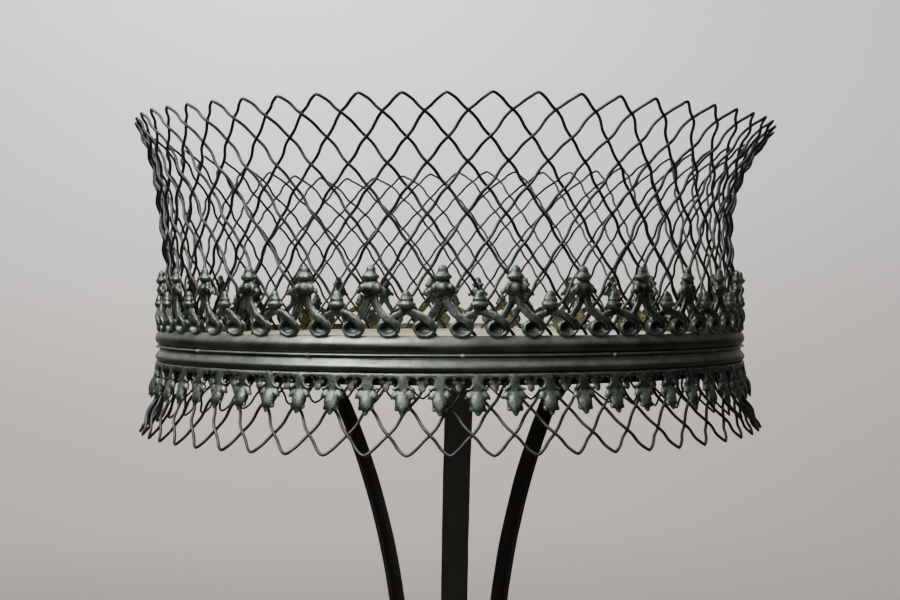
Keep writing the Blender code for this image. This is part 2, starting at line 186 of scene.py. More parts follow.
def objectPlace(tree):
    return addNode(tree, "ShaderNodeTexCoord").outputs["Object"]


def addProduct(tree, a, b):
    return addMath(tree, "MULTIPLY", a, b)


colourSocket = "NodeSocketColor"
numberSocket = "NodeSocketFloat"
midGrey = (0.1, 0.1, 0.1, 1.0)
patinaAndShadingWork = {
    "blotchDetail": 5.0,
    "fineness": 9.0,  # how much finer the small grain is than the blotches
    "fineDetail": 4.0,
    "fineRoughness": 0.65,
    # pointiness ranges: ridges paled by wear and a painted highlight, hollows darkened by patina and
    # painted shade
    "ridgeWearAndHighlight": (0.504, 0.545),
    "hollow": (0.498, 0.452),
    "patches": (0.38, 0.66),
    "ridgeWearAndHighlightShare": 0.75,
    "patchShare": 0.3,
    "hollowPatinaAndShadeShare": 0.85,
    "blotchHeight": 1.5,
}


def makePatinaAndShadingGroup():
    # blotchy metal skin: dark in the hollows from patina and painted shade, rubbed paler on the ridges
    # from wear and a painted highlight
    work = patinaAndShadingWork
    inputs = [(label, colourSocket, midGrey) for label in ("Hollow", "Body", "Rubbed")]
    inputs += [("Blotch Scale", numberSocket, 40.0), ("Wear", numberSocket, 0.6)]
    inputs += [("Smooth", numberSocket, 0.35), ("Rough", numberSocket, 0.65)]
    outputs = [("Color", colourSocket), ("Roughness", numberSocket), ("Height", numberSocket)]
    group, given, result = newGroup("patinaWithPaintedShadeAndHighlight", inputs, outputs)
    place = objectPlace(group)
    blotch = addNoise(group, place, given["Blotch Scale"], work["blotchDetail"])
    fineScale = addProduct(group, given["Blotch Scale"], work["fineness"])
    fine = addNoise(group, place, fineScale, work["fineDetail"], work["fineRoughness"])
    # pointiness paints light as well as wear: a painted highlight on the ridges and painted shade in the
    # hollows
    bend = addNode(group, "ShaderNodeNewGeometry").outputs["Pointiness"]
    ridgeWearAndHighlight = addRange(group, bend, *work["ridgeWearAndHighlight"])
    hollow = addRange(group, bend, *work["hollow"])
    patches = addRange(group, blotch, *work["patches"])
    tone = addProduct(group, addMath(group, "ADD", patches, fine), 0.5)
    skin = addMix(group, tone, given["Hollow"], given["Body"])
    ridgeWearAndHighlightPart = addProduct(group, ridgeWearAndHighlight, work["ridgeWearAndHighlightShare"])
    spread = addMath(group, "ADD", ridgeWearAndHighlightPart, addProduct(group, patches, work["patchShare"]))
    skin = addMix(group, addProduct(group, spread, given["Wear"]), skin, given["Rubbed"])
    skin = addMix(group, addProduct(group, hollow, work["hollowPatinaAndShadeShare"]), skin, given["Hollow"])
    span = addMath(group, "SUBTRACT", given["Rough"], given["Smooth"])
    rough = addMath(group, "ADD", addProduct(group, span, tone), given["Smooth"])
    height = addMath(group, "ADD", fine, addProduct(group, blotch, work["blotchHeight"]))
    group.links.new(skin, result["Color"])
    group.links.new(rough, result["Roughness"])
    group.links.new(height, result["Height"])
    return group


dustAndTopLightWork = {
    "facing": (-0.05, 0.7),  # how far a face looks up, from bare to covered; up-facing faces get dust and a painted top light
    "driftScale": 120.0,
    "driftDetail": 4.0,
    "drift": (0.3, 0.7, 0.55, 1.0),  # from these values of the noise to these shares
}


def makeDustAndTopLightGroup():
    # pale bloom and dust on what faces up, which also paints a top light: faces that look up are paler, as
    # if lit from above
    inputs = [("Color", colourSocket, midGrey), ("Dust", colourSocket, (0.3, 0.3, 0.27, 1.0))]
    inputs += [("Amount", numberSocket, 0.4)]
    group, given, result = newGroup("dustAndPaintedTopLight", inputs, [("Color", colourSocket)])
    normal = addNode(group, "ShaderNodeNewGeometry").outputs["Normal"]
    upward = addNode(group, "ShaderNodeSeparateXYZ", None, Vector=normal).outputs["Z"]
    level = addRange(group, upward, *dustAndTopLightWork["facing"])
    place = objectPlace(group)
    drift = addNoise(group, place, dustAndTopLightWork["driftScale"], dustAndTopLightWork["driftDetail"])
    drift = addRange(group, drift, *dustAndTopLightWork["drift"])
    dustAndTopLightShare = addProduct(group, addProduct(group, level, drift), given["Amount"])
    group.links.new(addMix(group, dustAndTopLightShare, given["Color"], given["Dust"]), result["Color"])
    return group


gildingWork = {
    "facing": (-0.15, -0.75),
    "patchScale": 90.0,
    "patchDetail": 3.0,
    "patch": (0.42, 0.6),
    "speckScale": 260.0,
    "speckDetail": 2.0,
    "speck": (0.5, 0.64),
    "low": (0.024, 0.008, 0.12, 1.0),  # from these heights above the foot to these shares
}


def makeInsideGroup():
    # old gilding and green that is left on faces turned towards the axis, the gilding near the foot
    work = gildingWork
    inputs = [("Color", colourSocket, midGrey), ("Gilding", colourSocket, (0.2, 0.18, 0.05, 1.0))]
    inputs += [("Green", colourSocket, (0.05, 0.15, 0.05, 1.0)), ("Amount", numberSocket, 0.6)]
    inputs += [("Foot", numberSocket, 0.62)]
    group, given, result = newGroup("insideGilding", inputs, [("Color", colourSocket)])
    vectorNode = "ShaderNodeVectorMath"
    normal = addNode(group, "ShaderNodeNewGeometry").outputs["Normal"]
    place = objectPlace(group)
    flat = addNode(group, vectorNode, {"operation": "MULTIPLY"}, i0=place, i1=(1.0, 1.0, 0.0)).outputs[0]
    outward = addNode(group, vectorNode, {"operation": "NORMALIZE"}, i0=flat).outputs[0]
    facing = addNode(group, vectorNode, {"operation": "DOT_PRODUCT"}, i0=normal, i1=outward)
    inside = addRange(group, facing.outputs["Value"], *work["facing"])
    patch = addNoise(group, place, work["patchScale"], work["patchDetail"])
    patch = addRange(group, patch, *work["patch"])
    speck = addNoise(group, place, work["speckScale"], work["speckDetail"])
    speck = addRange(group, speck, *work["speck"])
    rise = addNode(group, "ShaderNodeSeparateXYZ", None, Vector=place).outputs["Z"]
    low = addRange(group, addMath(group, "SUBTRACT", rise, given["Foot"]), *work["low"])
    share = addProduct(group, addProduct(group, inside, patch), given["Amount"])
    gilded = addMix(group, addProduct(group, share, low), given["Color"], given["Gilding"])
    greenShare = addProduct(group, addProduct(group, inside, speck), given["Amount"])
    group.links.new(addMix(group, greenShare, gilded, given["Green"]), result["Color"])
    return group


patinaAndShadingGroup = makePatinaAndShadingGroup()
dustAndTopLightGroup = makeDustAndTopLightGroup()
insideGroup = makeInsideGroup()
print("scene: shader groups ready")


def placeGroup(tree, group, **values):
    return addNode(tree, "ShaderNodeGroup", {"node_tree": group}, **values)


def newFinish(name):
    material = bpy.data.materials.new(name)
    material.use_nodes = True
    return material, material.node_tree, material.node_tree.nodes["Principled BSDF"]


def addBump(tree, height, strength, depth):
    bump = addNode(tree, "ShaderNodeBump", None, Height=height, Strength=strength, Distance=depth)
    tree.links.new(bump.outputs["Normal"], tree.nodes["Principled BSDF"].inputs["Normal"])


metalBumpDepth = 0.0004


def metalFinish(name, look):
    # look: the colours and strengths of one patinated metal
    material, tree, shader = newFinish(name)
    labels = ("Hollow", "Body", "Rubbed", "Wear", "Smooth", "Rough")
    values = {label: look[label.lower()] for label in labels}
    skin = placeGroup(tree, patinaAndShadingGroup, Blotch_Scale=look["blotch"], **values)
    bare = skin.outputs["Color"]
    # the dust group also paints a top light: faces that look up are paler, as if lit from above
    dusty = placeGroup(tree, dustAndTopLightGroup, Color=bare, Dust=look["dust"], Amount=look["dustAndTopLightAmount"])
    colour = dusty.outputs["Color"]
    if "gilding" in look:
        paint = {"Gilding": look["gilding"], "Green": look["green"], "Amount": look["gildAmount"]}
        gilded = placeGroup(tree, insideGroup, Color=colour, Foot=bandTop, **paint)
        colour = gilded.outputs["Color"]
    tree.links.new(colour, shader.inputs["Base Color"])
    tree.links.new(skin.outputs["Roughness"], shader.inputs["Roughness"])
    shader.inputs["Metallic"].default_value = look["metallic"]
    addBump(tree, skin.outputs["Height"], look["bump"], metalBumpDepth)
    return material


def linear(red, green, blue):
    return (red, green, blue, 1.0)


# Woven basket: fourteen endless wires, each over and under the others

basketWall = {
    "rimHeight": 0.76,
    "radius": 0.2092,
    "bottom": 0.5488,
    "rimReach": 0.0258,
    "rimFlare": 0.12,
    "rimPower": 3.6,
    "skirtReach": 0.0188,
    "skirtFlare": 0.0533,
    "skirtPower": 1.6,
}
wireWork = {
    "wires": 14,
    "peaks": 56,
    "rows": 14,
    "rowRise": 0.0158,
    "rimEndRise": 0.01,
    "skirtEndRise": 0.0116,
    "rowLift": 0.0048,
    "liftedRows": 9,
    "rimBend": 0.1,
    "skirtBend": {"left": 0.38, "right": 0.05, "power": 0.55},
    "radius": 0.00102,
    "weave": 0.00117,
    "crimp": 0.0005,
    "bow": 0.0008,
    "sides": 8,
    "pointsPerRow": 8,
    "sideLift": 0.0055,
    "leanRight": 0.0035,
    "twist": 0.005,
    "sidePush": 0.0045,
    "leftSag": 0.0032,
    "endRows": 0.8,  # the weave fades out over this many rows at rim and skirt
    "waver": 0.0013,
    "waverScale": 15.0,
    "waverSpan": 0.2,
    "skirtWaver": 0.7,
    "crestClear": 0.045,  # the basket is even up to here above the band
    "skirtClear": 0.024,  # and down to here below it
    "skirtFade": 0.03,
    "look": {
        "hollow": linear(0.004, 0.004, 0.005),
        "body": linear(0.012, 0.0115, 0.015),
        "rubbed": linear(0.07, 0.072, 0.07),
        "blotch": 60.0,
        "wear": 0.3,
        "smooth": 0.34,
        "rough": 0.6,
        # the dust colour also paints a highlight on the wires' upper sides
        "dust": linear(0.17, 0.175, 0.165),
        "dustAndTopLightAmount": 0.33,
        "metallic": 0.35,
        "bump": 0.35,
    },
}
rimDents = [  # where the old rim has sunk: middle and half width in degrees, drop in metres
    {"at": 126, "half": 46, "drop": 0.0105},
    {"at": 56, "half": 34, "drop": 0.0042},
    {"at": 2, "half": 22, "drop": 0.0032},
    {"at": -152, "half": 34, "drop": -0.0024},
]


def wallRadius(height):
    wall = basketWall
    up = (height - (wall["rimHeight"] - wall["rimFlare"])) / wall["rimFlare"]
    down = (wall["bottom"] + wall["skirtFlare"] - height) / wall["skirtFlare"]
    if up > 0:
        return wall["radius"] + wall["rimReach"] * up ** wall["rimPower"]
    if down > 0:
        return wall["radius"] + wall["skirtReach"] * down ** wall["skirtPower"]
    return wall["radius"]


def wallSlope(height):
    step = millimetre
    return (wallRadius(height + step) - wallRadius(height - step)) / (2 * step)


def wallNormal(angle, height):
    return (ringPlace(1.0, angle, 0.0) + upright(-wallSlope(height))).normalized()


def endCurve(x, rise, bend):
    # straight legs that meet in a bend, one row high
    return rise * (hypot(x, bend) - bend) / (hypot(1.0, bend) - bend)


def skirtBend(angle):
    # the hand-turned valleys are round on the left and tight on the right
    bend = wireWork["skirtBend"]
    share = softStep((1 + cos(angle)) / 2) ** bend["power"]
    return bend["left"] + (bend["right"] - bend["left"]) * share


def rowHeight(row, angle):
    work = wireWork
    rows = work["rows"]
    lifted = min(row / work["liftedRows"], 1.0)
    lift = work["rowLift"] * sin(pi * lifted) ** 2
    if row < 1:
        return basketWall["rimHeight"] - endCurve(row, work["rimEndRise"], work["rimBend"]) + lift
    if row > rows - 1:
        return basketWall["bottom"] + endCurve(rows - row, work["skirtEndRise"], skirtBend(angle))
    return basketWall["rimHeight"] - work["rimEndRise"] - (row - 1) * work["rowRise"] + lift


def rimSink(angle):
    sink = 0.0
    for dent in rimDents:
        away = (degrees(angle) - dent["at"] + 180) % 360 - 180
        sink += dent["drop"] * softStep(1 - abs(away) / dent["half"])
    return sink


def handWaver(angle, height):
    # the old basket's unevenness: none where band, hoop and crest hold it, most at rim and skirt
    work = wireWork
    crestTop = bandTop + work["crestClear"]
    climb = min(max((height - crestTop) / (basketWall["rimHeight"] - crestTop), 0.0), 1.0)
    up = softStep(climb)
    down = softStep((bandBottom - work["skirtClear"] - height) / work["skirtFade"])
    seat = ringPlace(work["waverSpan"], angle, height) * work["waverScale"]
    apart = Vector((7.3, 3.1, 5.7))  # so that the three drifts aren't alike
    drift = [noise.noise(seat + apart * k) for k in (1, 2, 3)]
    share = work["waver"] * max(up, down * work["skirtWaver"])
    shift = ringPlace(drift[0] * share, angle, 0.0)
    shift += ringPlace(drift[1] * share, angle + pi / 2, 0.0)
    shift.z = drift[2] * share + up * (work["sideLift"] * cos(angle) ** 2 - rimSink(angle))
    shift.z -= work["leftSag"] * down * max(-cos(angle), 0.0)
    shift.x += work["leanRight"] * up
    shift.x -= work["sidePush"] * sin(pi * climb) * cos(angle) ** 2
    return shift


def wirePoint(wire, t):
    work = wireWork
    rows = work["rows"]
    phase = t % (2 * rows)
    goingDown = phase < rows
    row = phase if goingDown else 2 * rows - phase
    ends = softStep(min(row, rows - row) / work["endRows"])
    angle = frontAngle + (2 * wire + t) * pi / work["peaks"]
    height = rowHeight(row, angle)
    radius = wallRadius(height)
    angle += work["crimp"] * sin(2 * pi * t) * ends / radius
    drop = (basketWall["rimHeight"] - height) / (basketWall["rimHeight"] - basketWall["bottom"])
    angle += work["twist"] * drop / radius
    side = -cos(pi * row) if goingDown else cos(pi * row)
    outward = wallNormal(angle, height)
    depth = side * work["weave"] - sin(pi * t) ** 2 * work["bow"]
    place = ringPlace(radius, angle, height) + outward * depth * ends
    return place + handWaver(angle, height), outward


def addWires():
    work = wireWork
    material = metalFinish("blackenedWire", work["look"])
    sides = work["sides"]
    steps = 2 * work["peaks"] * work["pointsPerRow"]
    for wire in range(work["wires"]):
        path = [wirePoint(wire, i / work["pointsPerRow"]) for i in range(steps)]
        places = []
        for i, (place, outward) in enumerate(path):
            along = (path[(i + 1) % steps][0] - path[i - 1][0]).normalized()
            across = along.cross(outward).normalized()
            out = across.cross(along)
            for turn in turns(sides):
                spoke = across * cos(turn) + out * sin(turn)
                places.append(place + spoke * work["radius"])
        mesh = meshFrom(places, ringFaces(steps, sides, closed=True))
        name = f"lattice_wire_{wire + 1:02d}"
        addPiece(name + "_drawn", mesh, material, "lattice_wire", name)


addWires()
print("scene: wires woven")


# Moulded band, hoop and waist ring: turned pieces

def turnPiece(profile, steps, waver=None):
    # profile: (radius, height) points round a closed section
    places = []
    for angle in turns(steps):
        for radius, height in profile:
            shift = waver(angle, radius, height) if waver else 0.0
            places.append(ringPlace(radius + shift, angle, height))
    return meshFrom(places, ringFaces(steps, len(profile), closed=True))


bandWork = {
    "wall": 0.0017,
    "upperHeight": 0.0108,
    "upperReach": 0.0037,
    "lowerHeight": 0.0093,
    "lowerReach": 0.0039,
    "lineGap": 0.0002,
    "lineHeight": 0.0016,
    "lineReach": 0.0024,
    "lineShape": [(0.6, 0.0), (1.0, 0.35), (1.0, 0.65), (0.5, 1.0)],  # shares of its reach and height
    "upperBelly": 0.5,
    "lowerBelly": 0.54,
    "upperSlant": 0.78,
    "lowerSlant": 1.7,
    "beadSteps": 20,
    "noseSoftening": 12,
    "steps": 360,
    "dentDepth": 0.0005,
    "dentScale": 34.0,
    "dentSpan": 0.21,
    "finerDents": 2.7,
    "look": {
        "hollow": linear(0.007, 0.007, 0.005),
        "body": linear(0.021, 0.026, 0.018),
        "rubbed": linear(0.082, 0.098, 0.08),
        "blotch": 34.0,
        "wear": 0.65,
        "smooth": 0.28,
        "rough": 0.5,
        # the pale dust colour also paints the lit upper faces of the beads
        "dust": linear(0.2, 0.232, 0.2),
        "dustAndTopLightAmount": 0.85,
        "metallic": 0.6,
        "bump": 0.4,
        "gilding": linear(0.13, 0.11, 0.03),
        "green": linear(0.012, 0.04, 0.02),
        "gildAmount": 0.8,
    },
}


def softenLine(points, passes):
    # rounds the corners between the two ends, which stay
    for _ in range(passes):
        triples = zip(points, points[1:], points[2:])
        inner = [((a[0] + 2 * b[0] + c[0]) / 4, (a[1] + 2 * b[1] + c[1]) / 4) for a, b, c in triples]
        points = [points[0]] + inner + [points[-1]]
    return points


def beadPoints(face, top, height, reach, belly, slant):
    # a slanting face down to the belly, rounded under below it
    points = []
    steps = bandWork["beadSteps"] // 2
    for i in range(steps):
        share = i / steps
        points.append((face + reach * share**slant, top - height * belly * share))
    for i in range(steps + 1):
        turn = pi / 2 * i / steps
        drop = belly + (1 - belly) * sin(turn)
        points.append((face + reach * cos(turn), top - height * drop))
    return softenLine(points, bandWork["noseSoftening"])


def bandDent(angle, radius, height):
    share = max(radius - bandInner - bandWork["wall"], 0.0) / bandWork["upperReach"]
    seat = ringPlace(bandWork["dentSpan"], angle, height / 2) * bandWork["dentScale"]
    ripple = noise.noise(seat) + 0.5 * noise.noise(seat * bandWork["finerDents"])
    return bandWork["dentDepth"] * share * ripple


def addBand():
    band = bandWork
    face = bandInner + band["wall"]
    lineTop = bandTop - band["upperHeight"] - band["lineGap"]
    upper = [band["upperHeight"], band["upperReach"], band["upperBelly"], band["upperSlant"]]
    lower = [band["lowerHeight"], band["lowerReach"], band["lowerBelly"], band["lowerSlant"]]
    profile = beadPoints(face, bandTop, *upper)
    for reach, drop in band["lineShape"]:
        profile.append((face + band["lineReach"] * reach, lineTop - band["lineHeight"] * drop))
    profile += beadPoints(face, bandBottom + band["lowerHeight"], *lower)
    profile += [(bandInner, bandBottom), (bandInner, (bandTop + bandBottom) / 2), (bandInner, bandTop)]
    mesh = turnPiece(profile, band["steps"], bandDent)
    addPiece("band_rolled", mesh, metalFinish("patinatedBand", band["look"]), "band", "band_moulding")


ironLook = {
    "hollow": linear(0.003, 0.003, 0.002),
    "body": linear(0.0042, 0.004, 0.0026),
    "rubbed": linear(0.019, 0.017, 0.011),
    "blotch": 46.0,
    "wear": 0.3,
    "smooth": 0.4,
    "rough": 0.66,
    "dust": linear(0.04, 0.038, 0.032),
    "dustAndTopLightAmount": 0.1,
    "metallic": 0.2,
    "bump": 0.45,
}
hoopLook = dict(ironLook, body=linear(0.014, 0.013, 0.01), wear=0.25)
hoopWork = {"corner": 0.0008, "steps": 240}
waistWork = {"corner": 0.0009, "steps": 120}


def roundedSection(inner, outer, bottom, top, corner, cornerSteps=4):
    points = []
    corners = [(outer - corner, top - corner, 90, 0), (outer - corner, bottom + corner, 0, -90)]
    corners += [(inner + corner, bottom + corner, -90, -180), (inner + corner, top - corner, 180, 90)]
    for x, y, start, end in corners:
        points += arcPoints((x, y), corner, start, end, cornerSteps)
    return points


def flatRing(name, node, material, slotName, work):
    inner, outer = nodeRadii(node)
    low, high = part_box(node)
    mesh = turnPiece(roundedSection(inner, outer, low[2], high[2], work["corner"]), work["steps"])
    addPiece(name, mesh, material, slotName, node)


blackIron = metalFinish("blackStrapIron", ironLook)
addBand()
flatRing("hoop_rolled", "inner_hoop", metalFinish("darkHoopIron", hoopLook), "hoop", hoopWork)
flatRing("waist_ring_rolled", "waist_ring", blackIron, "strap_iron", waistWork)
print("scene: band, hoop and waist ring turned")


# Castings: forms in millimetres as (across, out, up), fused and softened like old castings

def smoothPath(controls, perSpan=6):
    points = []
    last = len(controls) - 1
    for i in range(last):
        around = (i - 1, i, i + 1, i + 2)
        before, start, end, after = (Vector(controls[min(max(k, 0), last)]) for k in around)
        for j in range(perSpan):
            s = j / perSpan
            point = 2 * start + (end - before) * s
            point += (2 * before - 5 * start + 4 * end - after) * s**2
            point += (3 * start - before - 3 * end + after) * s**3
            points.append(point / 2)
    points.append(Vector(controls[last]))
    return points


def flatter(x):
    return copysign(abs(x) ** castWork["squareness"], x)


def addRibbon(form, controls, halfWidth, halfDepth, endShare, sides=16):
    # a flat-faced ribbon along (across, up, out) points, narrowing to its end
    path = smoothPath(controls)
    places = form[0]
    first = len(places)
    last = len(path) - 1
    for i, (across, up, out) in enumerate(path):
        ahead = path[min(i + 1, last)]
        behind = path[max(i - 1, 0)]
        along = Vector((ahead[0] - behind[0], ahead[1] - behind[1])).normalized()
        share = 1 - (1 - endShare) * (i / last) ** 2
        if i in (0, last):
            share *= castWork["ribbonTip"]
        for turn in turns(sides):
            side = halfWidth * share * flatter(cos(turn))
            depth = halfDepth * share * flatter(sin(turn))
            places.append((across - along.y * side, out + depth, up + along.x * side))
    skinRings(form, first, sides)


def addTurned(form, profile, centreOut, depthShare, sides=20):
    # (radius, up) points from foot to tip, turned and flattened in depth
    places = form[0]
    first = len(places)
    for radius, up in profile:
        for turn in turns(sides):
            places.append((radius * cos(turn), centreOut + radius * depthShare * sin(turn), up))
    skinRings(form, first, sides)


def addLobe(form, centre, halves, tilt=0.0, sides=14):
    # an egg at (across, up, out) with half sizes (across, up, out), tilted in the face's plane
    rings = sides // 2
    poleGap = 0.02
    places = form[0]
    first = len(places)
    lean = radians(tilt)
    for i in range(rings + 1):
        climb = pi * (poleGap + (1 - 2 * poleGap) * i / rings)
        z = -cos(climb) * halves[1]
        for turn in turns(sides):
            x = sin(climb) * cos(turn) * halves[0]
            y = sin(climb) * sin(turn) * halves[2]
            across = centre[0] + x * cos(lean) - z * sin(lean)
            up = centre[1] + x * sin(lean) + z * cos(lean)
            places.append((across, centre[2] + y, up))
    skinRings(form, first, sides)


def addRing(form, centre, start, end, majors, halfWidth, halfDepth, endShare, steps=28):
    # a part of an oval ring in the face's plane
    controls = []
    for i in range(steps + 1):
        turn = radians(start + (end - start) * i / steps)
        across = centre[0] + majors[0] * cos(turn)
        controls.append((across, centre[1] + majors[1] * sin(turn), centre[2]))
    addRibbon(form, controls, halfWidth, halfDepth, endShare)


def addDish(form, centre, flatten, profile, sides=28):
    # (radius, out) points from the back over the lip to the hollow, round a line that points out
    places = form[0]
    first = len(places)
    for radius, out in profile:
        for turn in turns(sides):
            up = centre[1] + radius * flatten * sin(turn)
            places.append((centre[0] + radius * cos(turn), out, up))
    skinRings(form, first, sides)


castWork = {
    "bays": 62,
    "lengths": 6,
    "crestFront": frontAngle,
    "pendantFront": radians(-91.5),
    "voxel": 0.0004,
    "soften": 2,
    "softenShare": 0.5,
    "keep": 0.16,
    "squareness": 0.52,  # a ribbon's section: 1 is an oval, less is flatter-faced
    "ribbonTip": 0.55,
    "lump": 0.0003,
    "lumpScale": 330.0,
    "finerLumps": 2.3,
    "look": {
        "hollow": linear(0.006, 0.006, 0.004),
        "body": linear(0.018, 0.022, 0.016),
        "rubbed": linear(0.095, 0.12, 0.102),
        "blotch": 95.0,
        "wear": 0.78,
        "smooth": 0.19,
        "rough": 0.44,
        # the dust colour also paints a top light on the castings' upper faces
        "dust": linear(0.205, 0.245, 0.215),
        "dustAndTopLightAmount": 0.6,
        "metallic": 0.55,
        "bump": 0.85,
        "gilding": linear(0.15, 0.125, 0.03),
        "green": linear(0.012, 0.05, 0.024),
        "gildAmount": 0.75,
    },
}
bayAngle = 2 * pi / castWork["bays"]
halfBay = bayAngle * crestInner / 2 / millimetre
crestForms = {
    "cup": [(6.4, 0.2), (7.1, 1.6), (7.2, 3.0), (6.9, 4.2), (6.2, 4.9), (5.4, 5.0), (4.6, 4.5), (4.0, 3.5)]
    + [(3.1, 2.3), (1.4, 1.6)],
    "cupMiddle": 4.2,
    "cupFlatten": 0.78,
    "capital": [(3.4, 23.6), (4.8, 24.4), (6.0, 25.4), (6.8, 26.8), (6.8, 28.4), (6.2, 30.0), (5.2, 31.4)]
    + [(4.3, 32.6), (3.7, 33.4)],
    "tallBud": [(3.2, 32.8), (4.3, 33.6), (5.2, 34.4), (5.5, 35.2), (5.2, 36.0), (4.3, 36.8), (3.5, 37.6)]
    + [(3.1, 38.5), (3.0, 39.6), (2.6, 40.7), (1.8, 41.6), (0.9, 42.1), (0.3, 42.2)],
    "shortBud": [(1.8, 14.8), (3.3, 15.8), (4.9, 17.0), (5.7, 18.2), (5.5, 19.3), (4.5, 20.1), (3.9, 20.6)]
    + [(4.3, 21.3), (4.1, 22.2), (3.3, 23.1), (2.8, 24.2), (2.5, 25.3), (1.8, 26.4), (0.9, 27.0)]
    + [(0.3, 27.2)],
    "middleLeaf": ((0.0, 28.6, 4.1), (2.6, 2.6, 1.5)),  # middle (across, up, out), half sizes
    "leaves": [  # in mirrored pairs, with their tilt in degrees
        ((4.9, 28.4, 3.4), (2.1, 2.7, 1.6), 12),
        ((7.5, 26.6, 2.6), (1.7, 2.1, 1.4), 30),
        ((2.6, 24.9, 3.2), (1.9, 1.2, 1.2), -20),
    ],
    "tallRoot": (1.7, 25.0),  # where the arms leave the finial: across, up
    "shortRoot": (0.7, 17.2),
    "rightArm": (2.4, 1.35, 0.88),  # half width, half depth, share left at the end
    "leftArm": (2.3, 1.35, 0.88),
}


def addLeaves(form, leaves, side):
    for (across, up, out), halves, tilt in leaves:
        addLobe(form, (across * side, up, out), halves, tilt * side)


def crestArms(form, tall):
    # the right arm runs over the cup's front and becomes its right side, the left ends behind a cup
    root, top = crestForms["tallRoot" if tall else "shortRoot"]
    right = [(root, top, 2.4), (root + 0.4, top - 2.6, 2.6)]
    left = [(-root, top, 2.3), (-root - 0.4, top - 2.6, 2.3)]
    if tall:
        right += [(root + 1.0, top - 6.0, 2.9), (root + 3.2, top - 9.4, 3.4)]
        left += [(-root - 1.0, top - 6.0, 2.2), (-root - 3.0, top - 9.4, 2.0)]
    else:
        right += [(root + 3.6, top - 3.9, 3.2)]
        left += [(-root - 3.0, top - 4.4, 2.0)]
    right += [(halfBay - 3.0, 12.3, 4.2), (halfBay + 0.2, 10.2, 4.7), (halfBay + 3.0, 8.4, 4.8)]
    right += [(halfBay + 5.0, 6.2, 4.3), (halfBay + 5.5, 3.8, 3.6)]
    left += [(-halfBay + 3.6, 11.6, 1.8), (-halfBay + 2.4, 9.2, 1.6)]
    addRibbon(form, right, *crestForms["rightArm"])
    addRibbon(form, left, *crestForms["leftArm"])


def crestBay(tall):
    # the rolled cup at the bay's right end, the finial, and the two arms between them
    form = ([], [])
    addDish(form, (halfBay, crestForms["cupMiddle"]), crestForms["cupFlatten"], crestForms["cup"])
    crestArms(form, tall)
    if tall:
        addTurned(form, crestForms["capital"], centreOut=2.2, depthShare=0.42)
        addLobe(form, *crestForms["middleLeaf"])
        for side in (-1, 1):
            addLeaves(form, crestForms["leaves"], side)
        addTurned(form, crestForms["tallBud"], centreOut=2.6, depthShare=0.66)
    else:
        addTurned(form, crestForms["shortBud"], centreOut=2.7, depthShare=0.64)
    return form


pendantForms = {  # up is counted from the band's foot, so it is below zero
    "plate": 3.3,  # how far out the strip and the rings lie
    "holeIn": 4.9,  # each hole's middle from the bay's end
    "overrun": 1.2,  # the strip runs on into the next bay
    "stripUp": -1.3,
    "strip": (1.4, 1.3, 1.0),  # half width, half depth, share left at the end
    "stem": (2.9, 1.4, 1.0),
    "tongue": (1.3, 0.9, 1.0),
    "ringUp": -5.6,
    "ring": {"majors": (3.4, 3.6), "halfWidth": 0.95, "halfDepth": 1.2, "endShare": 0.8},
    "ringArcs": {-1: (145, -105), 1: (35, 285)},  # start and end in degrees, left and right
    "leaves": [
        ((4.1, -12.6, 2.4), (3.2, 2.5, 1.8), -40),
        ((6.4, -14.3, 1.8), (1.4, 1.0, 1.0), -34),
        ((3.3, -20.3, 1.9), (1.6, 2.0, 1.3), 24),
    ],
    "drop": [(0.3, -25.0), (1.2, -24.4), (1.8, -23.4), (2.2, -22.4), (3.2, -21.2), (4.2, -19.6)]
    + [(4.7, -17.8), (4.8, -15.8), (4.4, -13.6), (3.6, -11.6), (2.9, -9.8)],
}


def pendantBay():
    # a leaf drop on its stem, a pierced ring at each side and the heart tongue at the right
    form = ([], [])
    plate = pendantForms["plate"]
    hole = halfBay - pendantForms["holeIn"]
    end = halfBay + pendantForms["overrun"]
    strip = [(across, pendantForms["stripUp"], plate) for across in (-end, 0.0, end)]
    stem = [(0.0, 0.0, plate), (0.0, -3.6, plate), (0.0, -7.6, 3.0), (0.0, -12.5, 2.2)]
    addRibbon(form, strip, *pendantForms["strip"])
    addRibbon(form, stem, *pendantForms["stem"])
    for side in (-1, 1):
        centre = (hole * side, pendantForms["ringUp"], plate)
        addRing(form, centre, *pendantForms["ringArcs"][side], **pendantForms["ring"])
        addLeaves(form, pendantForms["leaves"], side)
        addLobe(form, (halfBay + 2.4 * side, -5.2, 0.6), (1.9, 1.9, 0.8), 20 * side)
    tongue = [(halfBay, -0.4, 2.9), (halfBay, -2.2, 2.0), (halfBay, -4.2, 0.8), (halfBay, -6.4, 0.6)]
    addRibbon(form, tongue, *pendantForms["tongue"])
    addLobe(form, (halfBay, -8.4, 0.7), (2.4, 3.0, 0.9))
    addTurned(form, pendantForms["drop"], centreOut=2.0, depthShare=0.66)
    return form


def crestPlace(bay, across, out, up):
    angle = castWork["crestFront"] + bay * bayAngle + across * millimetre / crestInner
    return ringPlace(crestInner + max(out, 0.0) * millimetre, angle, bandTop + up * millimetre)


def pendantPlace(bay, across, out, up):
    angle = castWork["pendantFront"] + bay * bayAngle + across * millimetre / crestInner
    height = bandBottom + up * millimetre
    clear = (wireWork["weave"] + wireWork["radius"] + clearance) * hypot(1.0, wallSlope(height))
    return ringPlace(wallRadius(height) + clear + max(out, 0.0) * millimetre, angle, height)


